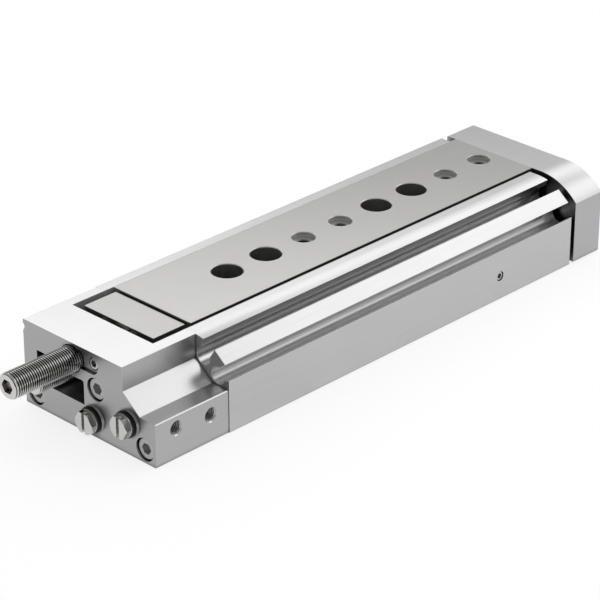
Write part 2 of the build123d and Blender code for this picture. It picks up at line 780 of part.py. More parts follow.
# Ball cages and balls: they stay between slide and rails over the whole stroke
cage_mid_x = (slide_rear_x + front_x - rail_end_gap) / 2
first_ball_x = cage_mid_x - ball_pitch * (ball_count - 1) / 2
for side, label in ((-1, "right"), (1, "left")):
    track_y = slide_offset + side * ball_half
    with BuildPart() as cage:
        with BuildSketch(section(cage_mid_x, track_y, ball_height)):
            Rectangle(cage_thickness, cage_height)
        extrude(amount=cage_length / 2, both=True)
        with BuildSketch(side_section(cage_mid_x, track_y, ball_height)):
            with GridLocations(ball_pitch, 0, ball_count, 1):
                Circle(ball_diameter / 2 + cage_pocket_clearance)
        extrude(amount=cage_thickness, both=True, mode=Mode.SUBTRACT)
    finish(cage.part, f"ball_cage_{label}")
    with BuildPart() as balls:
        with Locations(*[(first_ball_x + i * ball_pitch, track_y, ball_height) for i in range(ball_count)]):
            Sphere(ball_diameter / 2)
    finish(balls.part, f"balls_{label}")

# Slide: a steel T section with a ball track in each side and the hole pattern along its middle
slide_plane = section(slide_rear_x, slide_offset, 0)
with BuildPart() as slide:
    with BuildSketch(slide_plane):
        with Locations((0, slide_plate_bottom)):
            Rectangle(slide_width, slide_plate_thickness, align=(Align.CENTER, Align.MIN))
        with Locations((0, slide_bottom_height)):
            Rectangle(slide_body_width, slide_body_height, align=(Align.CENTER, Align.MIN))
        with Locations((-ball_half, ball_height), (ball_half, ball_height)):
            Circle(ball_track_radius, mode=Mode.SUBTRACT)
    extrude(amount=slide_length)
    slide_top = Plane.XY.offset(slide_top_height)
    with BuildSketch(slide_top):
        with Locations(*[(x, hole_line_offset) for x in access_xs]):
            Circle(access_hole_diameter / 2)
    extrude(amount=-slide_top_height, mode=Mode.SUBTRACT)
    with BuildSketch(slide_top):
        with Locations(*[(x, hole_line_offset) for x in thread_xs]):
            Circle(slide_thread_diameter / 2)
    extrude(amount=-slide_top_height, mode=Mode.SUBTRACT)
    with BuildSketch(slide_top):
        with Locations(*[(x, hole_line_offset) for x in thread_xs]):
            Circle(centring_diameter / 2)
    extrude(amount=-centring_depth, mode=Mode.SUBTRACT)
    mouths = slide.faces().sort_by(Axis.Z)[-1].inner_wires().edges()
    chamfer(mouths, hole_chamfer)
    # Tapped holes for the stop block behind and the yoke plate in front
    with BuildSketch(slide_plane):
        with Locations((0, block_screw_height)):
            with GridLocations(block_screw_spacing, 0, 2, 1):
                Circle(m4_diameter / 2)
    extrude(amount=block_screw_bite + tap_extra_depth, mode=Mode.SUBTRACT)
    slide_end = slide_plane.offset(slide_length)
    with BuildSketch(slide_end):
        with Locations((0, yoke_screw_height)):
            with GridLocations(yoke_screw_spacing, 0, 2, 1):
                Circle(cap_screw_diameter / 2)
    extrude(amount=-yoke_screw_bite - tap_extra_depth, mode=Mode.SUBTRACT)
    with BuildSketch(slide_end):
        with Locations((0, yoke_pin_height)):
            with GridLocations(yoke_pin_spacing, 0, 2, 1):
                Circle(yoke_pin_diameter / 2)
    extrude(amount=yoke_pin_in_yoke - yoke_pin_length, mode=Mode.SUBTRACT)
finish(slide.part, "slide")

# Stop block: same section as the slide, with a leg that holds the moving stop stud
block_plane = section(block_rear_x, slide_offset, 0)
block_length = slide_rear_x - block_rear_x
leg_bottom = window_bottom_height + block_leg_gap
leg_shelf = window_step_height - block_leg_gap
leg_top = channel_floor_height - block_neck_gap
leg_right = window_right_offset + block_leg_gap
leg_left = lower_channel_left_offset - block_neck_gap
neck_right = window_step_offset + block_neck_gap
neck_left = slide_offset + slide_body_width / 2
leg_corners = [
    (leg_right, leg_bottom),
    (leg_right, leg_shelf),
    (neck_right, leg_shelf),
    (neck_right, slide_bottom_height),
    (neck_left, slide_bottom_height),
    (neck_left, leg_top),
    (leg_left, leg_top),
    (leg_left, leg_bottom),
]
with BuildPart() as stop_block:
    with BuildSketch(block_plane):
        with Locations((0, slide_plate_bottom)):
            Rectangle(block_width, block_top_height - slide_plate_bottom, align=(Align.CENTER, Align.MIN))
        with Locations((0, slide_bottom_height)):
            Rectangle(slide_body_width, slide_body_height, align=(Align.CENTER, Align.MIN))
        with BuildLine():
            Polyline(*[(y - slide_offset, z) for y, z in leg_corners], close=True)
        make_face()
        with Locations((advance_stop_offset - slide_offset, advance_stop_height)):
            Circle(stop_thread_diameter / 2 + stop_thread_clearance, mode=Mode.SUBTRACT)
    extrude(amount=block_length)
    # Narrow step that leaves a dark line between block and slide
    with BuildSketch(block_plane.offset(block_length)):
        with Locations((0, block_top_height)):
            Rectangle(2 * block_width, 2 * block_groove_depth)
    extrude(amount=-block_groove_width, mode=Mode.SUBTRACT)
    with BuildSketch(block_plane):
        with Locations((0, block_screw_height)):
            with GridLocations(block_screw_spacing, 0, 2, 1):
                Circle(m4_clearance_diameter / 2)
    extrude(amount=block_length, mode=Mode.SUBTRACT)
    with BuildSketch(block_plane):
        with Locations((0, block_screw_height)):
            with GridLocations(block_screw_spacing, 0, 2, 1):
                Circle(m4_head_recess_diameter / 2)
    extrude(amount=m4_head_recess_depth, mode=Mode.SUBTRACT)
finish(stop_block.part, "stop_block")

m4_sizes = (m4_diameter, m4_head_diameter, m4_head_height, m4_socket)
block_screws = [
    socket_screw(block_rear_x + m4_head_recess_depth, slide_offset + side * block_screw_spacing / 2,
                 block_screw_height, 1, m4_sizes, block_length - m4_head_recess_depth + block_screw_bite)
    for side in (-1, 1)
]
finish(Compound(children=block_screws), "stop_block_screws")

# Yoke plate: follows the housing's shoulder and carries the tapped holes for a load
yoke_plane = section(yoke_rear_x, 0, 0)
yoke_front = yoke_plane.offset(yoke_thickness)
yoke_left_y = far_side_y - yoke_left_inset
yoke_arc_z = slide_top_height - yoke_shoulder_radius
yoke_crease_z = shoulder_height(shoulder_centre_y, yoke_arc_z, yoke_shoulder_radius, side_y)
with BuildPart() as yoke_plate:
    with BuildSketch(yoke_plane):
        with BuildLine():
            edge = Line((side_y, yoke_bottom_height), (side_y, yoke_crease_z))
            crown = RadiusArc(edge @ 1, (shoulder_centre_y, slide_top_height), yoke_shoulder_radius)
            Polyline(crown @ 1, (yoke_left_y, slide_top_height), (yoke_left_y, yoke_bottom_height), edge @ 0)
        make_face()
    extrude(amount=yoke_thickness)
    chamfer(yoke_plate.edges().filter_by(Axis.X).group_by(Axis.Y)[-1], edge_break)
    with BuildSketch(yoke_front):
        with Locations((slide_offset, yoke_screw_height)):
            with GridLocations(yoke_screw_spacing, 0, 2, 1):
                Circle(m5_clearance_diameter / 2)
        with Locations((bore_y, bore_height)):
            Circle(m4_clearance_diameter / 2)
    extrude(amount=-yoke_thickness, mode=Mode.SUBTRACT)
    with BuildSketch(yoke_front):
        with Locations((slide_offset, yoke_screw_height)):
            with GridLocations(yoke_screw_spacing, 0, 2, 1):
                Circle(m5_head_recess_diameter / 2)
    extrude(amount=-m5_head_recess_depth, mode=Mode.SUBTRACT)
    with BuildSketch(yoke_front):
        with Locations((bore_y, bore_height)):
            Circle(m4_head_recess_diameter / 2)
    extrude(amount=-m4_head_recess_depth, mode=Mode.SUBTRACT)
    with BuildSketch(yoke_front):
        with Locations((yoke_mount_offset, yoke_mount_low_height + yoke_mount_spacing_z / 2)):
            with GridLocations(yoke_mount_spacing_y, yoke_mount_spacing_z, 2, 2):
                Circle(yoke_mount_thread_diameter / 2)
    extrude(amount=-yoke_mount_depth, mode=Mode.SUBTRACT)
    with BuildSketch(yoke_plane):
        with Locations((slide_offset, yoke_pin_height)):
            with GridLocations(yoke_pin_spacing, 0, 2, 1):
                Circle(yoke_pin_diameter / 2)
    extrude(amount=yoke_pin_in_yoke, mode=Mode.SUBTRACT)
finish(yoke_plate.part, "yoke_plate")

m5_sizes = (cap_screw_diameter, m5_head_diameter, m5_head_height, m5_socket)
yoke_screws = [
    socket_screw(yoke_front_x - m5_head_recess_depth, slide_offset + side * yoke_screw_spacing / 2,
                 yoke_screw_height, -1, m5_sizes, yoke_thickness - m5_head_recess_depth + yoke_screw_bite)
    for side in (-1, 1)
]
finish(Compound(children=yoke_screws), "yoke_screws")

with BuildPart() as yoke_pins:
    with BuildSketch(yoke_plane.offset(yoke_pin_in_yoke)):
        with Locations((slide_offset, yoke_pin_height)):
            with GridLocations(yoke_pin_spacing, 0, 2, 1):
                Circle(yoke_pin_diameter / 2 - fit_gap)
    extrude(amount=-yoke_pin_length)
finish(yoke_pins.part, "yoke_pins")

# Piston rod, tapped at both ends: screwed to the yoke plate in front and to the piston behind
rod_rear_x = piston_front_x - rod_socket_depth
rod_length = yoke_rear_x - rod_rear_x
rod_plane = section(rod_rear_x, bore_y, bore_height)
with BuildPart() as piston_rod:
    with BuildSketch(rod_plane):
        Circle(rod_diameter / 2)
    extrude(amount=rod_length)
    with BuildSketch(rod_plane):
        Circle(m3_diameter / 2)
    extrude(amount=piston_screw_bite + tap_extra_depth, mode=Mode.SUBTRACT)
    with BuildSketch(rod_plane.offset(rod_length)):
        Circle(m4_diameter / 2)
    extrude(amount=-rod_screw_bite - tap_extra_depth, mode=Mode.SUBTRACT)
finish(piston_rod.part, "piston_rod")
rod_screw = socket_screw(yoke_front_x - m4_head_recess_depth, bore_y, bore_height, -1, m4_sizes,
                         yoke_thickness - m4_head_recess_depth + rod_screw_bite)
finish(rod_screw, "rod_screw")

# Piston: revolved, with grooves for two seals and the magnet ring between them
piston_axis = Axis((0, bore_y, bore_height), (1, 0, 0))
piston_radius = bore_diameter / 2 - piston_clearance
groove_radius = piston_radius - seal_groove_depth
seal_starts = [seal_end_distance, piston_length - seal_end_distance - seal_ring_width]
magnet_start = (piston_length - magnet_width) / 2
groove_spans = sorted([(start, seal_ring_width) for start in seal_starts] + [(magnet_start, magnet_width)])
with BuildPart() as piston:
    with BuildSketch(bore_section(piston_rear_x)):
        Rectangle(piston_length, piston_radius, align=Align.MIN)
        for start, width in groove_spans:
            with Locations((start, groove_radius)):
                Rectangle(width, seal_groove_depth, align=Align.MIN, mode=Mode.SUBTRACT)
        # Socket for the rod in front, through hole and head recess for the screw behind
        with Locations((piston_length - rod_socket_depth, 0)):
            Rectangle(rod_socket_depth, rod_diameter / 2, align=Align.MIN, mode=Mode.SUBTRACT)
        Rectangle(piston_length, m3_clearance_diameter / 2, align=Align.MIN, mode=Mode.SUBTRACT)
        Rectangle(m3_head_recess_depth, m3_head_recess_diameter / 2, align=Align.MIN, mode=Mode.SUBTRACT)
    revolve(axis=piston_axis)
finish(piston.part, "piston")
piston_seals = [
    round_bar(piston_rear_x + start, seal_ring_width, bore_y, bore_height,
              bore_diameter / 2 - fit_gap, groove_radius)
    for start in seal_starts
]
finish(Compound(children=piston_seals), "piston_seals")
magnet = round_bar(piston_rear_x + magnet_start, magnet_width, bore_y, bore_height,
                   piston_radius, groove_radius)
finish(magnet, "piston_magnet")
m3_sizes = (m3_diameter, m3_head_diameter, m3_head_height, m3_socket)
piston_screw = socket_screw(piston_rear_x + m3_head_recess_depth, bore_y, bore_height, 1, m3_sizes,
                            piston_length - rod_socket_depth - m3_head_recess_depth + piston_screw_bite)
finish(piston_screw, "piston_screw")

# Bearing cap at the bore's front: bush and seal for the rod, an O-ring, and a groove for its lock screw
bearing_radius = bore_diameter / 2 - fit_gap
rod_hole_radius = rod_diameter / 2 + rod_clearance
bush_radius = rod_hole_radius + rod_bush_thickness
rod_seal_radius = rod_hole_radius + rod_seal_thickness
bush_end = bearing_cap_length - rod_seal_length
lock_groove_middle = bearing_screw_x - bearing_rear_x
with BuildPart() as bearing_cap:
    with BuildSketch(bore_section(bearing_rear_x)):
        with Locations((0, rod_hole_radius)):
            Rectangle(bearing_cap_length, bearing_radius - rod_hole_radius, align=Align.MIN)
        with Locations((bush_end - rod_bush_length, 0)):
            Rectangle(rod_bush_length, bush_radius, align=Align.MIN, mode=Mode.SUBTRACT)
        with Locations((bush_end, 0)):
            Rectangle(rod_seal_length, rod_seal_radius, align=Align.MIN, mode=Mode.SUBTRACT)
        with Locations((bearing_seal_distance, bearing_radius - bore_seal_width)):
            Rectangle(bore_seal_width, bore_seal_width, align=Align.MIN, mode=Mode.SUBTRACT)
        with Locations((lock_groove_middle, bearing_radius - bearing_groove_depth)):
            Rectangle(bearing_screw_diameter + 2 * bearing_groove_clearance, bearing_groove_depth,
                      align=(Align.CENTER, Align.MIN), mode=Mode.SUBTRACT)
    revolve(axis=piston_axis)
finish(bearing_cap.part, "bearing_cap")
rod_bush = round_bar(bearing_rear_x + bush_end - rod_bush_length, rod_bush_length, bore_y, bore_height,
                     bush_radius, rod_hole_radius)
finish(rod_bush, "rod_bush")
rod_seal = round_bar(bearing_rear_x + bush_end, rod_seal_length, bore_y, bore_height,
                     rod_seal_radius, rod_hole_radius)
finish(rod_seal, "rod_seal")
bearing_seal = round_bar(bearing_rear_x + bearing_seal_distance, bore_seal_width, bore_y, bore_height,
                         bearing_radius, bearing_radius - bore_seal_width)
finish(bearing_seal, "bearing_seal_ring")

# Seal rings at the joint between end cap and housing
spigot_radius = bore_diameter / 2 - fit_gap
bore_seal = round_bar(joint_x + (spigot_length - bore_seal_width) / 2, bore_seal_width, bore_y, bore_height,
                      spigot_radius, bore_diameter / 2 - bore_seal_width)
finish(bore_seal, "bore_seal_ring")
passage_seal = round_bar(joint_x - passage_seal_thickness, passage_seal_thickness, passage_y,
                         housing_passage_height, passage_seal_diameter / 2, housing_passage_diameter / 2)
finish(passage_seal, "passage_seal_ring")
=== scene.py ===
"""Looks of a pneumatic slide table: brushed aluminium, ground steel, cut threads and a white studio.

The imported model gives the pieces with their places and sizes. The colours, the grain, the form of the
threads and the studio are this script's own, in the settings groups below. Lengths are in metres, and
the table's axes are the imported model's axes.
"""
import json
import math

import bmesh
import bpy
from bpy.props import FloatProperty, FloatVectorProperty, IntProperty, PointerProperty
from bpy.types import Operator, Panel, PropertyGroup
from mathutils import Matrix, Vector


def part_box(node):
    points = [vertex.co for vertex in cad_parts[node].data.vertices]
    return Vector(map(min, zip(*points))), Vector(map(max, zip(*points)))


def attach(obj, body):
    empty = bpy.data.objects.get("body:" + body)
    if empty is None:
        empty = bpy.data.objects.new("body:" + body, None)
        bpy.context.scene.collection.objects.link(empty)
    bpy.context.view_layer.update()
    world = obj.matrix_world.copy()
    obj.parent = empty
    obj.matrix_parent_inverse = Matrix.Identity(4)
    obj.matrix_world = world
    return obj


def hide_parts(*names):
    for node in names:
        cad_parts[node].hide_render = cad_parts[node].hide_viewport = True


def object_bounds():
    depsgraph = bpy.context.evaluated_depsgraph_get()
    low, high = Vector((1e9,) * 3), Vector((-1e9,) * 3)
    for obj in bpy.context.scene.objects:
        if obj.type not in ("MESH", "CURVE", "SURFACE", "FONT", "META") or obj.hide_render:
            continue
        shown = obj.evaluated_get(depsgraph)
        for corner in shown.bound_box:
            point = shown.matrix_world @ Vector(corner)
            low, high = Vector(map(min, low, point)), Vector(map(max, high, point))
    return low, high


bl_info = {
    "name": "Slide Table Looks",
    "version": (1, 0, 0),
    "blender": (4, 5, 0),
    "location": "View3D > Sidebar > Slide Table",
    "description": "Finishes, threads and a studio for a pneumatic slide table",
    "category": "Object",
}

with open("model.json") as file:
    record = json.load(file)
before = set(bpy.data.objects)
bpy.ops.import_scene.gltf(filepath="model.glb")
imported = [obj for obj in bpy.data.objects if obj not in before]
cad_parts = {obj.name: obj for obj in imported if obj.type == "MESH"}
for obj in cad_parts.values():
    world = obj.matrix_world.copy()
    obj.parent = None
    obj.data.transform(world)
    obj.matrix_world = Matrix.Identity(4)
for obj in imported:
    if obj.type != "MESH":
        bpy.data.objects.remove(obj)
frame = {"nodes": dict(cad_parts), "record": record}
cad_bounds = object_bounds()
mm = 0.001

# How many times as long as wide a brush mark is
mark_stretch = 60.0
# Scale of the specks in moulded rubber and plastic
speck_scale = 1800.0
# Edges of a thread that turn by more than this stay sharp
sharp_angle = math.radians(25)
# Corners of a thread nearer than this are joined, and faces smaller than this area are left out
weld_distance = 0.0005 * mm
least_area = 1e-14
# A corner that is no farther than this from a station along X stands at it
station_room = 1e-7


def colour_setting(label, description, value):
    """A colour that a user can change."""
    return FloatVectorProperty(
        name=label, description=description, subtype="COLOR", size=3, min=0.0, max=1.0, default=value
    )


def length_setting(label, description, value):
    """A length that a user can change."""
    return FloatProperty(
        name=label, description=description, unit="LENGTH", subtype="DISTANCE", min=0.0, precision=5,
        default=value,
    )


def share_setting(label, description, value):
    """A share that a user can change."""
    return FloatProperty(
        name=label, description=description, subtype="FACTOR", min=0.1, max=0.8, default=value
    )


def angle_setting(label, description, degrees):
    """An angle that a user can change."""
    return FloatProperty(
        name=label, description=description, subtype="ANGLE", default=math.radians(degrees)
    )


class FinishSettings(PropertyGroup):
    """Colours and grain of the table's finishes, with painted light and shade."""

    # Painted light and shade: one aluminium, lighter on upper faces and darker on long sides and cut ends
    aluminium_lit_top: colour_setting("Aluminium, upper faces", "Faces that look up", (0.90, 0.90, 0.90))
    aluminium_shaded_side: colour_setting("Aluminium, side faces", "Long upright faces", (0.53, 0.53, 0.535))
    aluminium_shaded_end: colour_setting("Aluminium, end faces", "Faces cut across", (0.37, 0.37, 0.375))
    # Painted highlight on broken aluminium edges
    aluminium_edge_highlight: colour_setting("Aluminium, edges", "Bright broken edges", (0.97, 0.97, 0.97))
    # Painted light: the walls inside the drawn slots turn this colour
    slot_wall_painted_light: colour_setting("Slot wall", "Facing walls of the drawn slots", (1.0, 1.0, 1.0))
    slide_steel: colour_setting("Slide steel", "Ground steel of the slide", (0.66, 0.655, 0.64))
    rail_steel: colour_setting("Rail steel", "Guide rails", (0.45, 0.45, 0.44))
    ball_steel: colour_setting("Ball steel", "Balls of the guide", (0.80, 0.80, 0.79))
    screw_steel: colour_setting("Screw steel", "Socket head screws", (0.52, 0.52, 0.51))
    set_screw_steel: colour_setting("Set screw steel", "Small set screws", (0.50, 0.50, 0.49))
    stud_steel: colour_setting("Stud steel", "Threaded stop studs", (0.58, 0.575, 0.565))
    pin_steel: colour_setting("Pin steel", "Pins of the yoke plate", (0.6, 0.6, 0.59))
    pad_steel: colour_setting("Pad steel", "Hardened pad that a stop meets", (0.35, 0.35, 0.34))
    # Painted highlight on broken steel edges
    steel_edge_highlight: colour_setting("Steel, edges", "Bright broken edges", (0.93, 0.93, 0.92))
    rod_chrome: colour_setting("Rod chrome", "Plated piston rod", (0.78, 0.78, 0.78))
    plug_nickel: colour_setting("Plug nickel", "Plated plugs of the rear ports", (0.56, 0.555, 0.545))
    bush_bronze: colour_setting("Bush bronze", "Bush of the piston rod", (0.55, 0.38, 0.20))
    cut_thread: colour_setting("Cut thread", "Threads in aluminium", (0.50, 0.50, 0.50))
    # Painted shade: the threads in the slide's holes are dark for the shade deep in them
    shaded_deep_thread: colour_setting("Deep thread", "Threads in the slide's holes", (0.16, 0.16, 0.16))
    seal_rubber: colour_setting("Seal rubber", "Seal rings", (0.012, 0.012, 0.012))
    seal_rim: colour_setting("Seal rim", "Steel rim of a plug's seal", (0.90, 0.90, 0.89))
    cage_plastic: colour_setting("Cage plastic", "Ball cages", (0.02, 0.02, 0.022))
    buffer_plastic: colour_setting("Buffer plastic", "Buffers of the stops", (0.05, 0.05, 0.05))
    magnet_ferrite: colour_setting("Magnet ferrite", "Magnet of the piston", (0.03, 0.03, 0.032))
    edge_radius: length_setting("Edge rounding", "Radius of the broken edges", 0.10 * mm)
    # Reaches of the painted shade in gaps and in hollows
    gap_shade_reach: length_setting("Gap reach", "Distance over which walls darken a gap", 3.0 * mm)
    hollow_shade_reach: length_setting("Hollow reach", "Distance over which walls darken a hollow", 12.0 * mm)
    slot_reach: length_setting("Slot reach", "Distance over which walls light each other", 6.0 * mm)
    grain_width: length_setting("Grain width", "Width of one brush mark", 0.12 * mm)
    grain_depth: length_setting("Grain depth", "Depth of one brush mark", 0.02 * mm)
    rim_width: length_setting("Rim width", "Width of a plug seal's steel rim, along X", 0.45 * mm)


class ThreadSettings(PropertyGroup):
    """Sizes of the threads that show, and of the holes in the studs."""

    stud_pitch: length_setting("Stud pitch", "Thread pitch of the stop studs", 1.0 * mm)
    tapped_pitch: length_setting("Tapped pitch", "Thread pitch of the tapped holes", 0.8 * mm)
    stud_depth_share: share_setting("Stud depth share", "A stud's thread depth over its pitch", 0.6)
    tapped_depth_share: share_setting("Tapped depth share", "A hole's thread depth over its pitch", 0.4)
    columns: IntProperty(
        name="Columns", description="Corners round a stud's thread", min=24, max=240, default=96
    )
    socket_across: length_setting("Socket", "Across flats of a stud's hexagon socket", 5.0 * mm)
    socket_depth: length_setting("Socket depth", "Depth of a stud's hexagon socket", 5.5 * mm)
    socket_tip: length_setting("Socket tip", "Depth of the cone under a stud's socket", 1.0 * mm)
    seat_radius: length_setting("Seat radius", "Radius of the buffer's seat in a stud", 3.0 * mm)
    seat_depth: length_setting("Seat depth", "Depth of the buffer's seat in a stud", 2.0 * mm)
    yoke_depth: length_setting("Yoke thread length", "Length of the yoke plate's threads", 10.0 * mm)
    port_bare: length_setting("Bare wall, ports", "Wall with no thread at each end", 0.4 * mm)
    slide_bare: length_setting("Bare wall, slide", "Wall with no thread at each end", 0.2 * mm)
    yoke_bare: length_setting("Bare wall, yoke", "Wall with no thread at the mouth", 0.3 * mm)


class StudioSettings(PropertyGroup):
    """Camera, floor and light."""

    azimuth: angle_setting("Azimuth", "Camera's angle round the table", -45.551)
    elevation: angle_setting("Elevation", "Camera's angle above the floor", 27.054)
    distance: length_setting("Distance", "From the camera to the point it aims at", 1029.37 * mm)
    lens: FloatProperty(name="Lens", description="Focal length", unit="CAMERA", default=163.5)
    aim: FloatVectorProperty(
        name="Aim", description="Point that the camera looks at", unit="LENGTH", size=3,
        default=(0.0, 5.646 * mm, 10.484 * mm),
    )
    floor_colour: colour_setting("Floor", "Colour of the floor", (0.50, 0.50, 0.50))
    floor_size: length_setting("Floor size", "Side of the square floor", 12.0)
    floor_glow: FloatProperty(
        name="Floor whiteness", description="White added where the floor is seen", min=0.0, max=1.0,
        default=0.76,
    )
    softbox_power: FloatProperty(
        name="Softbox", description="Power of the softbox behind the table", unit="POWER", default=0.70
    )
    softbox_distance: length_setting("Softbox distance", "From the origin, behind the table", 400.0 * mm)
    softbox_foot: length_setting("Softbox foot", "Height of its lower edge", 241.0 * mm)
    softbox_width: length_setting("Softbox width", "Across the view", 1200.0 * mm)
    softbox_height: length_setting("Softbox height", "From its lower to its upper edge", 180.0 * mm)
    side_power: FloatProperty(
        name="Side lamp", description="Power of the soft lamp on the right", unit="POWER", default=1.5
    )
    side_place: FloatVectorProperty(
        name="Side lamp's place", description="Middle of the soft lamp on the right", unit="LENGTH", size=3,
        default=(0.90, -0.52, 0.93),
    )
    side_size: FloatVectorProperty(
        name="Side lamp's size", description="Width and height of the soft lamp on the right", unit="LENGTH",
        size=2, default=(0.9, 0.66),
    )
    sky_low: FloatProperty(name="Sky, low", description="Strength of the sky near the horizon", default=0.42)
    sky_high: FloatProperty(name="Sky, high", description="Strength of the sky overhead", default=0.38)
    sky_low_angle: angle_setting("Low sky's angle", "The sky has its low strength up to here", 20)
    sky_high_angle: angle_setting("High sky's angle", "The sky has its high strength from here", 45)


def settings():
    """The three groups of settings of the scene."""
    scene = bpy.context.scene
    return scene.slide_table_finish, scene.slide_table_thread, scene.slide_table_studio


class Material:
    """A node material in the making, with a short way to add and link nodes."""

    def __init__(self, name):
        self.material = bpy.data.materials.new(name)
        self.material.use_nodes = True
        self.tree = self.material.node_tree
        self.surface = self.tree.nodes["Principled BSDF"]

    def add(self, kind, **values):
        """Adds a node and sets its properties."""
        node = self.tree.nodes.new("ShaderNode" + kind)
        for name, value in values.items():
            setattr(node, name, value)
        return node

    def set(self, node, socket, value):
        """Links an output to a socket, or sets the socket's own value."""
        if isinstance(value, bpy.types.NodeSocket):
            self.tree.links.new(value, node.inputs[socket])
        else:
            node.inputs[socket].default_value = value

    def math(self, operation, first, second=0.0, third=0.0):
        """A Math node's result."""
        node = self.add("Math", operation=operation)
        for place, value in enumerate((first, second, third)):
            self.set(node, place, value)
        return node.outputs[0]

    def scaled(self, value, depth, start):
        """A value times a depth, counted from a start."""
        return self.math("MULTIPLY_ADD", value, depth, start)

    def span(self, value, from_low, from_high, to_low=0.0, to_high=1.0):
        """A value mapped smoothly from one range to another."""
        node = self.add("MapRange", interpolation_type="SMOOTHSTEP")
        for socket, number in (("Value", value), ("From Min", from_low), ("From Max", from_high),
                               ("To Min", to_low), ("To Max", to_high)):
            self.set(node, socket, number)
        return node.outputs["Result"]

    def mix(self, factor, first, second, blend="MIX"):
        """Two colours mixed."""
        node = self.add("Mix", data_type="RGBA", blend_type=blend)
        self.set(node, 0, factor)
        for place, value in ((6, first), (7, second)):
            if not isinstance(value, bpy.types.NodeSocket):
                value = (*tuple(value)[:3], 1.0)
            self.set(node, place, value)
        return node.outputs[2]

    def shaded(self, colour, light):
        """A colour times a grey."""
        grey = self.add("CombineColor")
        for channel in ("Red", "Green", "Blue"):
            self.set(grey, channel, light)
        return self.mix(1.0, colour, grey.outputs[0], blend="MULTIPLY")

    def part(self, vector, axis):
        """One coordinate of a vector."""
        node = self.add("SeparateXYZ")
        self.set(node, 0, vector)
        return node.outputs[axis]

    def place(self):
        """Object coordinates of the surface."""
        return self.add("TexCoord").outputs["Object"]

    def facing(self, axis):
        """How much the surface faces along an axis, from -1 to 1."""
        return self.part(self.add("TexCoord").outputs["Normal"], axis)

    def noise(self, vector, scale, detail=2.0, roughness=0.55):
        """A noise value along a vector."""
        node = self.add("TexNoise")
        self.set(node, "Vector", vector)
        self.set(node, "Scale", scale)
        self.set(node, "Detail", detail)
        self.set(node, "Roughness", roughness)
        return node.outputs["Fac"]

    def brushed(self, along, width):
        """A noise drawn out along one axis, as a brush or a drawing die leaves it."""
        scale = [1.0 / width] * 3
        scale[along] /= mark_stretch
        stretched = self.add("VectorMath", operation="MULTIPLY")
        self.set(stretched, 0, self.place())
        self.set(stretched, 1, tuple(scale))
        return self.noise(stretched.outputs[0], 1.0, detail=4.0, roughness=0.6)

    def edge(self, radius):
        """Rounded normal of the edges, and how near to an edge the surface is, the mask of the painted edge
        highlights.
        """
        rounded = self.add("Bevel", samples=6)
        self.set(rounded, "Radius", radius)
        flat = self.add("NewGeometry").outputs["True Normal"]
        turn = self.add("VectorMath", operation="DOT_PRODUCT")
        self.set(turn, 0, rounded.outputs[0])
        self.set(turn, 1, flat)
        return rounded.outputs[0], self.span(turn.outputs["Value"], 0.995, 0.90)

    def open_share(self, reach, alone=False):
        """How open the surface is, from 0 in a gap to 1 in the open, among all pieces or its own alone."""
        node = self.add("AmbientOcclusion", samples=12, only_local=alone)
        self.set(node, "Distance", reach)
        return node.outputs["AO"]

    def inside_share(self):
        """How deep the surface lies in a slot or hole of its own piece, from 0 to 1."""
        return self.span(self.open_share(settings()[0].slot_reach, alone=True), 0.85, 0.45)

    def shade_in_gaps(self, colour, reach, darkest=0.06, closed=0.12, open_from=0.78):
        """A colour with painted shade in gaps and corners, between two shares of openness."""
        light = self.span(self.open_share(reach), closed, open_from, darkest, 1.0)
        return self.shaded(colour, light)

    def shade_in_hollows(self, colour, reach):
        """A colour with painted shade in deep hollows alone."""
        light = self.span(self.open_share(reach), 0.06, 0.26, 0.25, 1.0)
        return self.shaded(colour, light)

    def bump(self, height, strength, distance, normal=None):
        """A bumped normal."""
        node = self.add("Bump")
        self.set(node, "Strength", strength)
        self.set(node, "Distance", distance)
        self.set(node, "Height", height)
        if normal is not None:
            self.set(node, "Normal", normal)
        return node.outputs[0]

    def finish(self, **sockets):
        """Sets the surface's sockets, named with underscores for spaces."""
        for name, value in sockets.items():
            socket = name.replace("_", " ")
            if not isinstance(value, (bpy.types.NodeSocket, float, int)):
                value = (*tuple(value)[:3], 1.0)
            self.set(self.surface, socket, value)
        return self.material


def pocket_wall(maker, top):
    """How much the surface is the pocket's left wall, which faces right and lies near the top."""
    depth = 5.0 * mm
    place = maker.place()
    turned = maker.span(maker.facing("Y"), -0.7, -0.9)
    left = maker.span(maker.part(place, "Y"), 0.0, 1.0 * mm)
    high = maker.span(maker.part(place, "Z"), top - depth, top - 0.8 * depth)
    return maker.math("MULTIPLY", turned, maker.math("MULTIPLY", left, high))


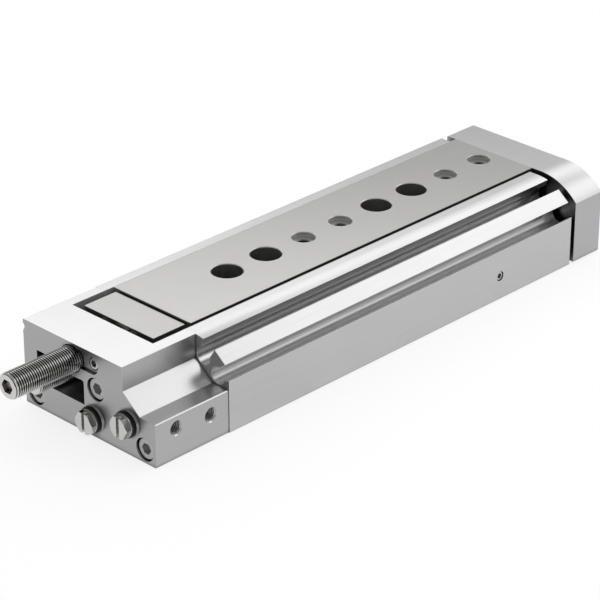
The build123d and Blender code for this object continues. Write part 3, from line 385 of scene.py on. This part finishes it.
def aluminium(name, side_shade_share=1.0, top_light_share=1.0, drawn=False, pocket_top=None):
    """Anodised aluminium with painted light on its upper faces and painted shade on its sides and ends.

    Drawn aluminium has lines along the profile, and painted light makes the walls in its slots pale. Where
    the height of the pocket's top is given, the pocket's left wall is matt and has no painted shade of gaps.
    """
    streak_depth, streak_start = (0.14, 0.88) if drawn else (0.05, 0.975)
    edge_share, edge_highlight_share = (1.7, 0.95) if drawn else (1.0, 0.5)
    gap_shade_share = 0.5 if drawn else 1.0
    grain_strength = 0.30 if drawn else 0.10
    finish = settings()[0]
    maker = Material(name)
    # Painted light and shade by which way a face turns: upper faces lit, sides and ends shaded
    side = tuple(channel * side_shade_share for channel in finish.aluminium_shaded_side)
    upper = tuple(channel * top_light_share for channel in finish.aluminium_lit_top)
    body = maker.mix(maker.span(maker.facing("Z"), 0.0, 0.75), side, upper)
    across = maker.math("ABSOLUTE", maker.facing("X"))
    body = maker.mix(maker.span(across, 0.6, 0.9), body, finish.aluminium_shaded_end)
    grain = maker.brushed(0, finish.grain_width)
    clouds = maker.noise(maker.place(), 45.0)
    streaks = maker.brushed(0, 6.0 * finish.grain_width)
    shade = maker.math("MULTIPLY", maker.scaled(streaks, streak_depth, streak_start),
                       maker.scaled(grain, 0.10, 0.95))
    shade = maker.math("MULTIPLY", shade, maker.scaled(clouds, 0.05, 0.975))
    body = maker.shaded(body, shade)
    if drawn:
        # Painted light on the walls inside the slots
        body = maker.mix(maker.inside_share(), body, finish.slot_wall_painted_light)
    rounded, highlight_mask = maker.edge(finish.edge_radius * edge_share)
    # Painted highlight: the colour turns bright near the edges
    body = maker.mix(maker.math("MULTIPLY", highlight_mask, edge_highlight_share), body, finish.aluminium_edge_highlight)
    # Painted shade in gaps, corners and deep hollows
    dark = maker.shade_in_gaps(body, finish.gap_shade_reach * gap_shade_share, darkest=0.03, closed=0.2, open_from=0.85)
    dark = maker.shade_in_hollows(dark, finish.hollow_shade_reach)
    metal = 1.0
    if pocket_top is None:
        body = dark
    else:
        matt = pocket_wall(maker, pocket_top)
        body = maker.mix(matt, dark, body)
        metal = maker.scaled(matt, -0.9, metal)
    rough = maker.scaled(grain, 0.12, 0.24)
    normal = maker.bump(grain, grain_strength, finish.grain_depth, rounded)
    if drawn:
        lengthwise = maker.add("Tangent", direction_type="RADIAL", axis="X")
        maker.set(maker.surface, "Tangent", lengthwise.outputs[0])
        maker.set(maker.surface, "Anisotropic", 0.3)
    return maker.finish(Base_Color=body, Metallic=metal, Roughness=rough, Normal=normal)


def steel(name, colour, along, rough, edge_share=1.0, gap_shade_share=1.0, edge_highlight_share=0.7, threaded=False,
          metal=1.0, bored=False):
    """Ground or turned steel, or another plain metal, with fine marks along one axis.

    A threaded piece gets painted shade between its ridges, and a bored one has matt walls in its holes. All
    get painted shade in gaps and corners.
    """
    finish = settings()[0]
    maker = Material(name)
    grain = maker.brushed(along, finish.grain_width)
    clouds = maker.noise(maker.place(), 60.0)
    body = maker.shaded(colour, maker.scaled(grain, 0.10, maker.scaled(clouds, 0.06, 0.92)))
    rounded, highlight_mask = maker.edge(finish.edge_radius * edge_share)
    # Painted highlight: the colour turns bright near the edges
    body = maker.mix(maker.math("MULTIPLY", highlight_mask, edge_highlight_share), body, finish.steel_edge_highlight)
    reach = finish.gap_shade_reach * gap_shade_share
    # Painted shade in gaps and corners: darkest between a thread's ridges, lightest on a bored piece
    if threaded:
        body = maker.shade_in_gaps(body, reach, darkest=0.01, closed=0.38, open_from=0.95)
    elif bored:
        body = maker.shade_in_gaps(body, reach, darkest=0.4)
        metal = maker.scaled(maker.inside_share(), -0.8, metal)
    else:
        body = maker.shade_in_gaps(body, reach)
    roughness = maker.scaled(grain, 0.14, rough - 0.07)
    normal = maker.bump(grain, 0.10, finish.grain_depth, rounded)
    return maker.finish(Base_Color=body, Metallic=metal, Roughness=roughness, Normal=normal)


def moulded(name, colour, rough, speck_depth):
    """Rubber or plastic with a fine moulded grain."""
    maker = Material(name)
    specks = maker.noise(maker.place(), speck_scale)
    pale = tuple(min(1.0, channel * 1.6 + 0.004) for channel in colour)
    body = maker.mix(maker.span(specks, 0.35, 0.75), colour, pale)
    roughness = maker.scaled(specks, 0.18, rough - 0.09)
    normal = maker.bump(specks, 0.3, speck_depth)
    return maker.finish(Base_Color=body, Roughness=roughness, Normal=normal)


def rimmed_rubber(name, rim_x):
    """Black rubber in front of a bright steel rim, which starts at a station along X."""
    finish = settings()[0]
    seam = 0.04 * mm
    maker = Material(name)
    rim = maker.span(maker.part(maker.place(), "X"), rim_x - seam, rim_x + seam)
    specks = maker.noise(maker.place(), speck_scale)
    body = maker.mix(rim, finish.seal_rubber, finish.seal_rim)
    # Painted shade in the seal's corners
    body = maker.shade_in_gaps(body, finish.gap_shade_reach * 0.1)
    rough = maker.scaled(rim, -0.08, maker.scaled(specks, 0.1, 0.25))
    rounded, _ = maker.edge(finish.edge_radius)
    maker.set(maker.surface, "Specular IOR Level", 0.2)
    return maker.finish(Base_Color=body, Metallic=rim, Roughness=rough, Normal=rounded)


def dress(material, *names):
    """Gives CAD nodes a material."""
    for name in names:
        mesh = frame["nodes"][name].data
        mesh.materials.clear()
        mesh.materials.append(material)


def add_piece(name, mesh, material, body, replaced=()):
    """Links a piece, gives it a material and says what it rides on and stands for."""
    mesh.materials.append(material)
    piece = bpy.data.objects.new(name, mesh)
    bpy.context.scene.collection.objects.link(piece)
    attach(piece, body)
    if replaced:
        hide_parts(*replaced)
    return piece


def add_ring(bm, x, centre_y, centre_z, turns, radii):
    """Adds a ring of corners round a centre, at a station along X."""
    ring = []
    for turn, radius in zip(turns, radii):
        y = centre_y + radius * math.cos(turn)
        z = centre_z + radius * math.sin(turn)
        ring.append(bm.verts.new((x, y, z)))
    return ring


def join_rings(bm, first, second):
    """Joins two rings of corners with faces."""
    count = len(first)
    for k in range(count):
        following = (k + 1) % count
        bm.faces.new((first[k], first[following], second[following], second[k]))


def close_ring(bm, ring, point):
    """Closes a ring with a fan to one point."""
    tip = bm.verts.new(point)
    for k, corner in enumerate(ring):
        bm.faces.new((corner, ring[(k + 1) % len(ring)], tip))


def helix_surface(bm, start, end, pitch, crest, root, columns, centre_y, centre_z):
    """Adds a threaded surface between two stations along X, with both ends chamfered to the root."""
    # Where the root and the crest start and end, as shares of one turn
    shares = ((0.0, root), (0.08, root), (0.36, crest), (0.72, crest))
    turns = int((end - start) / pitch) + 2
    rows = []
    for turn in range(-1, turns + 1):
        for share, radius in shares:
            row = []
            for k in range(columns):
                x = start + (turn + share + k / columns) * pitch
                cut = root + max(0.0, min(x - start, end - x))
                reach = min(radius, cut) if crest > root else max(radius, 2 * root - cut)
                if x <= start or x >= end:
                    reach = root
                angle = 2 * math.pi * k / columns
                y = centre_y + reach * math.cos(angle)
                z = centre_z + reach * math.sin(angle)
                row.append(bm.verts.new((min(max(x, start), end), y, z)))
            rows.append(row)
    per_turn = len(shares)
    for j in range(len(rows) - 1):
        near, far = rows[j], rows[j + 1]
        for k in range(columns - 1):
            bm.faces.new((near[k], near[k + 1], far[k + 1], far[k]))
        if j + per_turn + 1 < len(rows):
            bm.faces.new((near[-1], rows[j + per_turn][0], rows[j + per_turn + 1][0], far[-1]))
    bmesh.ops.remove_doubles(bm, verts=bm.verts[:], dist=weld_distance)
    flat = [face for face in bm.faces if face.calc_area() < least_area]
    bmesh.ops.delete(bm, geom=flat, context="FACES")
    loose = [corner for corner in bm.verts if not corner.link_faces]
    bmesh.ops.delete(bm, geom=loose, context="VERTS")


def end_ring(bm, x):
    """The corners of an open end at a station along X, in order round it."""
    near = [corner for corner in bm.verts if abs(corner.co.x - x) < station_room]
    rim = [corner for corner in near if any(edge.is_boundary for edge in corner.link_edges)]
    middle = sum((corner.co for corner in rim), Vector()) / len(rim)

    def turn(corner):
        """The corner's angle round the middle, from 0 to a full turn."""
        return math.atan2(corner.co.z - middle.z, corner.co.y - middle.y) % (2 * math.pi)

    return sorted(rim, key=turn)


def make_mesh(bm, name):
    """Turns corners and faces into a mesh with smooth shading and sharp edges."""
    mesh = bpy.data.meshes.new(name)
    bm.to_mesh(mesh)
    bm.free()
    mesh.shade_smooth()
    mesh.set_sharp_from_angle(angle=sharp_angle)
    return mesh


def threaded_stud(name, thread):
    """Mesh of a stop stud: a chamfered thread, a hexagon socket behind and a buffer's seat in front."""
    low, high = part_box(name)
    centre_y = (low.y + high.y) / 2
    centre_z = (low.z + high.z) / 2
    crest = (high.z - low.z) / 2
    root = crest - thread.stud_pitch * thread.stud_depth_share
    bm = bmesh.new()
    helix_surface(bm, low.x, high.x, thread.stud_pitch, crest, root, thread.columns, centre_y, centre_z)

    def hexagon(turn):
        """Distance from the middle of the socket to its side, at an angle."""
        return thread.socket_across / 2 / math.cos((turn % (math.pi / 3)) - math.pi / 6)

    def circle(turn):
        """Distance from the middle of the seat to its side, at any angle."""
        return thread.seat_radius

    for x, inward, depth, tip, radius_at in (
        (low.x, 1, thread.socket_depth, thread.socket_tip, hexagon),
        (high.x, -1, thread.seat_depth, 0.0, circle),
    ):
        rim = end_ring(bm, x)
        turns = [math.atan2(corner.co.z - centre_z, corner.co.y - centre_y) for corner in rim]
        radii = [radius_at(turn) for turn in turns]
        mouth = add_ring(bm, x, centre_y, centre_z, turns, radii)
        floor = add_ring(bm, x + inward * depth, centre_y, centre_z, turns, radii)
        join_rings(bm, rim, mouth)
        join_rings(bm, mouth, floor)
        close_ring(bm, floor, (x + inward * (depth + tip), centre_y, centre_z))
    bmesh.ops.recalc_face_normals(bm, faces=bm.faces[:])
    return make_mesh(bm, name)


def threaded_sleeve(name, middle, axis, radius, length, thread):
    """Mesh of a tapped hole's thread: ridges inside a thin sleeve that lies on the hole's wall."""
    skin = 0.02 * mm
    root = radius - skin / 2
    crest = radius - thread.tapped_pitch * thread.tapped_depth_share
    ends = (-length / 2, length / 2)
    bm = bmesh.new()
    helix_surface(bm, *ends, thread.tapped_pitch, crest, root, thread.columns // 2, 0.0, 0.0)
    outer = []
    for x in ends:
        rim = end_ring(bm, x)
        turns = [math.atan2(corner.co.z, corner.co.y) for corner in rim]
        wall = add_ring(bm, x, 0.0, 0.0, turns, [radius + skin] * len(turns))
        join_rings(bm, rim, wall)
        outer.append(wall)
    join_rings(bm, outer[0], outer[1])
    bmesh.ops.recalc_face_normals(bm, faces=bm.faces[:])
    turn = Vector((1, 0, 0)).rotation_difference(Vector(axis)).to_matrix().to_4x4()
    bm.transform(Matrix.Translation(middle) @ turn)
    return make_mesh(bm, name)


class SLIDETABLE_OT_housing(Operator):
    """Finish the housing's brushed aluminium profile"""

    bl_idname = "slide_table.housing"
    bl_label = "Housing"

    def execute(self, context):
        dress(aluminium("housing aluminium", drawn=True, pocket_top=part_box("housing")[1].z), "housing")
        return {"FINISHED"}


class SLIDETABLE_OT_end_cap(Operator):
    """Finish the milled end cap"""

    bl_idname = "slide_table.end_cap"
    bl_label = "End cap"

    def execute(self, context):
        # The cap's sides get deeper painted shade than the housing's
        dress(aluminium("cap aluminium", side_shade_share=0.82, pocket_top=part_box("end_cap")[1].z), "end_cap")
        return {"FINISHED"}


class SLIDETABLE_OT_yoke_plate(Operator):
    """Finish the yoke plate in front"""

    bl_idname = "slide_table.yoke_plate"
    bl_label = "Yoke plate"

    def execute(self, context):
        # The yoke's sides get deeper painted shade, and its upper faces less painted light
        dress(aluminium("yoke aluminium", side_shade_share=0.80, top_light_share=0.92), "yoke_plate")
        return {"FINISHED"}


class SLIDETABLE_OT_slide(Operator):
    """Finish the ground steel slide and its stop block"""

    bl_idname = "slide_table.slide"
    bl_label = "Slide and stop block"

    def execute(self, context):
        finish = settings()[0]
        dress(steel("slide steel", finish.slide_steel, along=0, rough=0.31, bored=True), "slide")
        dress(steel("block steel", finish.slide_steel, along=0, rough=0.33), "stop_block")
        return {"FINISHED"}


class SLIDETABLE_OT_guide(Operator):
    """Finish the rails, balls and cages of the guide"""

    bl_idname = "slide_table.guide"
    bl_label = "Ball guide"

    def execute(self, context):
        finish = settings()[0]
        rails = steel("rail steel", finish.rail_steel, along=0, rough=0.25)
        dress(rails, "guide_rail_right", "guide_rail_left")
        balls = steel("ball steel", finish.ball_steel, along=2, rough=0.12)
        dress(balls, "balls_right", "balls_left")
        cages = moulded("cage plastic", finish.cage_plastic, rough=0.5, speck_depth=0.02 * mm)
        dress(cages, "ball_cage_right", "ball_cage_left")
        dress(steel("rail screw steel", finish.screw_steel, along=2, rough=0.35), "rail_screws")
        return {"FINISHED"}


class SLIDETABLE_OT_screws(Operator):
    """Finish the screws and pins"""

    bl_idname = "slide_table.screws"
    bl_label = "Screws and pins"

    def execute(self, context):
        finish = settings()[0]
        turned = steel("screw steel", finish.screw_steel, along=0, rough=0.33, gap_shade_share=0.15, metal=0.6)
        dress(turned, "end_cap_screws", "yoke_screws", "rod_screw", "stop_block_screws", "piston_screw")
        set_screws = steel("set screw steel", finish.set_screw_steel, along=0, rough=0.22, edge_share=1.5,
                           gap_shade_share=0.35, edge_highlight_share=0.95)
        dress(set_screws, "stop_lock_screw", "bearing_lock_screw")
        dress(steel("pin steel", finish.pin_steel, along=0, rough=0.22), "yoke_pins")
        return {"FINISHED"}


class SLIDETABLE_OT_plugs(Operator):
    """Finish the port plugs and the seal rings"""

    bl_idname = "slide_table.plugs"
    bl_label = "Port plugs and seals"

    def execute(self, context):
        finish = settings()[0]
        plugs = steel("plug nickel", finish.plug_nickel, along=2, rough=0.22, edge_share=1.3, gap_shade_share=0.5)
        dress(plugs, "port_plugs")
        rubber = moulded("seal rubber", finish.seal_rubber, rough=0.45, speck_depth=0.02 * mm)
        dress(rubber, "piston_seals", "rod_seal", "bearing_seal_ring", "bore_seal_ring", "passage_seal_ring")
        rim_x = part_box("port_plug_seals")[1].x - finish.rim_width
        dress(rimmed_rubber("rimmed seal", rim_x), "port_plug_seals")
        return {"FINISHED"}


class SLIDETABLE_OT_tapped_holes(Operator):
    """Build the threads of the air ports and of the load's tapped holes"""

    bl_idname = "slide_table.tapped_holes"
    bl_label = "Tapped holes"

    def execute(self, context):
        finish, self.thread, _ = settings()
        self.mounts = {mount["name"]: mount for mount in frame["record"]["mounts"]}
        self.cut = steel("cut thread", finish.cut_thread, along=1, rough=0.25, edge_share=0.5, gap_shade_share=0.3,
                         edge_highlight_share=0.4, threaded=True)
        # Painted shade: much darker than the slide's steel, for the shade deep in its holes
        self.deep = steel("deep thread", finish.shaded_deep_thread, along=2, rough=0.28, edge_share=0.5,
                          threaded=True)
        self.add_port_threads()
        self.add_slide_threads()
        self.add_yoke_threads()
        return {"FINISHED"}

    def add_port_threads(self):
        """The threads of the two air ports in the end cap's side."""
        for name in ("air_port_rear", "air_port_front"):
            mount = self.mounts[name]
            dims = mount["dims"]
            length = dims["length_mm"] * mm - 2 * self.thread.port_bare
            mesh = threaded_sleeve(name + "_thread", Vector(mount["pos_m"]), mount["axis"],
                                   dims["r_mm"] * mm, length, self.thread)
            add_piece(name + "_thread", mesh, self.cut, "base")

    def add_slide_threads(self):
        """The threads of the slide's four centring holes, below their mouths."""
        bare = self.thread.slide_bare
        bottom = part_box("slide")[0].z
        for name in ("slide_threads_rear", "slide_threads_front"):
            dims = self.mounts[name]["dims"]
            top = Vector(self.mounts[name]["pos_m"])
            length = top.z - bottom - 2 * bare
            for end, side in (("rear", -1), ("front", 1)):
                along = side * dims["spacing_x_mm"] * mm / 2
                middle = top + Vector((along, 0, -length / 2 - bare))
                label = f"{name}_{end}"
                mesh = threaded_sleeve(label, middle, (0, 0, 1), dims["hole_r_mm"] * mm, length, self.thread)
                add_piece(label, mesh, self.deep, "slide_table")

    def add_yoke_threads(self):
        """The threads of the four holes in the yoke plate's face."""
        dims = self.mounts["yoke_threads"]["dims"]
        front = Vector(self.mounts["yoke_threads"]["pos_m"])
        length = self.thread.yoke_depth
        behind = -length / 2 - self.thread.yoke_bare
        for hand, across in (("right", -1), ("left", 1)):
            for level, up in (("lower", -1), ("upper", 1)):
                aside = across * dims["spacing_x_mm"] * mm / 2
                height = up * dims["spacing_y_mm"] * mm / 2
                middle = front + Vector((behind, aside, height))
                label = f"yoke_thread_{hand}_{level}"
                mesh = threaded_sleeve(label, middle, (1, 0, 0), dims["hole_r_mm"] * mm, length, self.thread)
                add_piece(label, mesh, self.cut, "slide_table")


class SLIDETABLE_OT_stops(Operator):
    """Build the threaded stop studs and finish their buffers"""

    bl_idname = "slide_table.stops"
    bl_label = "Stop studs"

    def execute(self, context):
        finish, thread, _ = settings()
        material = steel("stud steel", finish.stud_steel, along=1, rough=0.16, edge_share=0.4, gap_shade_share=0.35,
                         edge_highlight_share=0.3, threaded=True)
        for name, body in (("retract_stop_stud", "retract_stop"), ("advance_stop_stud", "advance_stop")):
            mesh = threaded_stud(name, thread)
            add_piece(name + "_threaded", mesh, material, body, (name,))
        buffers = moulded("buffer plastic", finish.buffer_plastic, rough=0.5, speck_depth=0.03 * mm)
        dress(buffers, "retract_stop_buffer", "advance_stop_buffer")
        dress(steel("pad steel", finish.pad_steel, along=1, rough=0.3), "stop_pad")
        return {"FINISHED"}


class SLIDETABLE_OT_cylinder(Operator):
    """Finish the pieces of the cylinder"""

    bl_idname = "slide_table.cylinder"
    bl_label = "Cylinder"

    def execute(self, context):
        finish = settings()[0]
        dress(steel("rod chrome", finish.rod_chrome, along=0, rough=0.14), "piston_rod")
        dress(aluminium("bearing aluminium"), "piston", "bearing_cap")
        dress(steel("bush bronze", finish.bush_bronze, along=0, rough=0.35), "rod_bush")
        magnet = moulded("magnet ferrite", finish.magnet_ferrite, rough=0.6, speck_depth=0.05 * mm)
        dress(magnet, "piston_magnet")
        return {"FINISHED"}


class SLIDETABLE_OT_studio(Operator):
    """Set up the camera, the white floor, the sky and the soft lamps"""

    bl_idname = "slide_table.studio"
    bl_label = "Studio"

    def execute(self, context):
        studio = settings()[2]
        self.add_camera(studio)
        self.add_floor(studio)
        self.add_sky(studio)
        self.add_lamps(studio)
        context.scene.view_settings.view_transform = "Standard"
        return {"FINISHED"}

    def add_camera(self, studio):
        """The camera at the photograph's angle."""
        data = bpy.data.cameras.new("camera")
        data.lens = studio.lens
        data.sensor_width = 36.0
        data.clip_start = 0.05
        data.clip_end = 100.0
        camera = bpy.data.objects.new("camera", data)
        bpy.context.scene.collection.objects.link(camera)
        level = math.cos(studio.elevation)
        away = Vector((math.sin(studio.azimuth) * level, -math.cos(studio.azimuth) * level,
                       math.sin(studio.elevation)))
        camera.location = Vector(studio.aim) + studio.distance * away
        camera.rotation_euler = (-away).to_track_quat("-Z", "Y").to_euler()
        bpy.context.scene.camera = camera

    def add_floor(self, studio):
        """A pale floor, with white added where it is seen."""
        maker = Material("floor")
        path = maker.add("LightPath").outputs
        seen = maker.math("MAXIMUM", path["Is Camera Ray"], path["Is Glossy Ray"])
        seen = maker.math("MAXIMUM", seen, path["Is Transmission Ray"])
        glow = maker.math("MULTIPLY", seen, studio.floor_glow)
        material = maker.finish(Base_Color=studio.floor_colour, Roughness=0.9, Emission_Color=(1.0, 1.0, 1.0),
                                Emission_Strength=glow, Specular_IOR_Level=0.0)
        half = studio.floor_size / 2
        mesh = bpy.data.meshes.new("floor")
        corners = [(-half, -half, 0), (half, -half, 0), (half, half, 0), (-half, half, 0)]
        mesh.from_pydata(corners, [], [(0, 1, 2, 3)])
        mesh.materials.append(material)
        floor = bpy.data.objects.new("floor", mesh)
        floor.location.z = cad_bounds[0][2]
        bpy.context.scene.collection.objects.link(floor)

    def add_sky(self, studio):
        """A soft white sky, a little stronger near the horizon."""
        world = bpy.data.worlds.new("sky")
        bpy.context.scene.world = world
        world.use_nodes = True
        tree = world.node_tree
        background = tree.nodes["Background"]
        direction = tree.nodes.new("ShaderNodeTexCoord").outputs["Generated"]
        parts = tree.nodes.new("ShaderNodeSeparateXYZ")
        tree.links.new(direction, parts.inputs[0])
        ramp = tree.nodes.new("ShaderNodeMapRange")
        ramp.interpolation_type = "SMOOTHSTEP"
        ramp.inputs["From Min"].default_value = math.sin(studio.sky_low_angle)
        ramp.inputs["From Max"].default_value = math.sin(studio.sky_high_angle)
        ramp.inputs["To Min"].default_value = studio.sky_low
        ramp.inputs["To Max"].default_value = studio.sky_high
        tree.links.new(parts.outputs["Z"], ramp.inputs["Value"])
        background.inputs["Color"].default_value = (1.0, 1.0, 1.0, 1.0)
        tree.links.new(ramp.outputs["Result"], background.inputs["Strength"])

    def add_lamps(self, studio):
        """A softbox behind the table and a side lamp.

        The softbox's lower edge makes the upper faces fade towards the far end.
        """
        away = Vector((-math.sin(studio.azimuth), math.cos(studio.azimuth), 0.0))
        middle = studio.softbox_distance * away
        middle.z = studio.softbox_foot + studio.softbox_height / 2
        self.add_lamp("softbox", middle, -away, studio.softbox_width, studio.softbox_height,
                      studio.softbox_power)
        side = Vector(studio.side_place)
        self.add_lamp("side_lamp", side, -side, *studio.side_size, studio.side_power)

    def add_lamp(self, name, middle, facing, width, height, power):
        """A soft rectangular lamp that the camera itself doesn't see."""
        lamp = bpy.data.lights.new(name, "AREA")
        lamp.shape = "RECTANGLE"
        lamp.size = width
        lamp.size_y = height
        lamp.energy = power
        piece = bpy.data.objects.new(name, lamp)
        piece.location = middle
        piece.rotation_euler = facing.to_track_quat("-Z", "Y").to_euler()
        piece.visible_camera = False
        bpy.context.scene.collection.objects.link(piece)


class SLIDETABLE_PT_looks(Panel):
    """Lists the steps that dress the slide table, and their settings"""

    bl_label = "Slide Table"
    bl_space_type = "VIEW_3D"
    bl_region_type = "UI"
    bl_category = "Slide Table"

    def draw(self, context):
        layout = self.layout
        for step in STEPS:
            layout.operator(step.bl_idname)
        for group in settings():
            box = layout.box()
            for name in group.__annotations__:
                box.prop(group, name)


STEPS = (
    SLIDETABLE_OT_studio,
    SLIDETABLE_OT_housing,
    SLIDETABLE_OT_end_cap,
    SLIDETABLE_OT_yoke_plate,
    SLIDETABLE_OT_slide,
    SLIDETABLE_OT_guide,
    SLIDETABLE_OT_screws,
    SLIDETABLE_OT_plugs,
    SLIDETABLE_OT_tapped_holes,
    SLIDETABLE_OT_stops,
    SLIDETABLE_OT_cylinder,
)
CLASSES = (FinishSettings, ThreadSettings, StudioSettings, *STEPS, SLIDETABLE_PT_looks)


def register():
    """Adds the classes and the scene's settings."""
    for item in CLASSES:
        bpy.utils.register_class(item)
    bpy.types.Scene.slide_table_finish = PointerProperty(type=FinishSettings)
    bpy.types.Scene.slide_table_thread = PointerProperty(type=ThreadSettings)
    bpy.types.Scene.slide_table_studio = PointerProperty(type=StudioSettings)


def unregister():
    """Takes the classes and settings out again."""
    del bpy.types.Scene.slide_table_studio
    del bpy.types.Scene.slide_table_thread
    del bpy.types.Scene.slide_table_finish
    for item in reversed(CLASSES):
        bpy.utils.unregister_class(item)


def main():
    """Runs every step in order."""
    register()
    bpy.ops.slide_table.studio()
    bpy.ops.slide_table.housing()
    bpy.ops.slide_table.end_cap()
    bpy.ops.slide_table.yoke_plate()
    bpy.ops.slide_table.slide()
    bpy.ops.slide_table.guide()
    bpy.ops.slide_table.screws()
    bpy.ops.slide_table.plugs()
    bpy.ops.slide_table.tapped_holes()
    bpy.ops.slide_table.stops()
    bpy.ops.slide_table.cylinder()


if __name__ == "__main__":
    main()
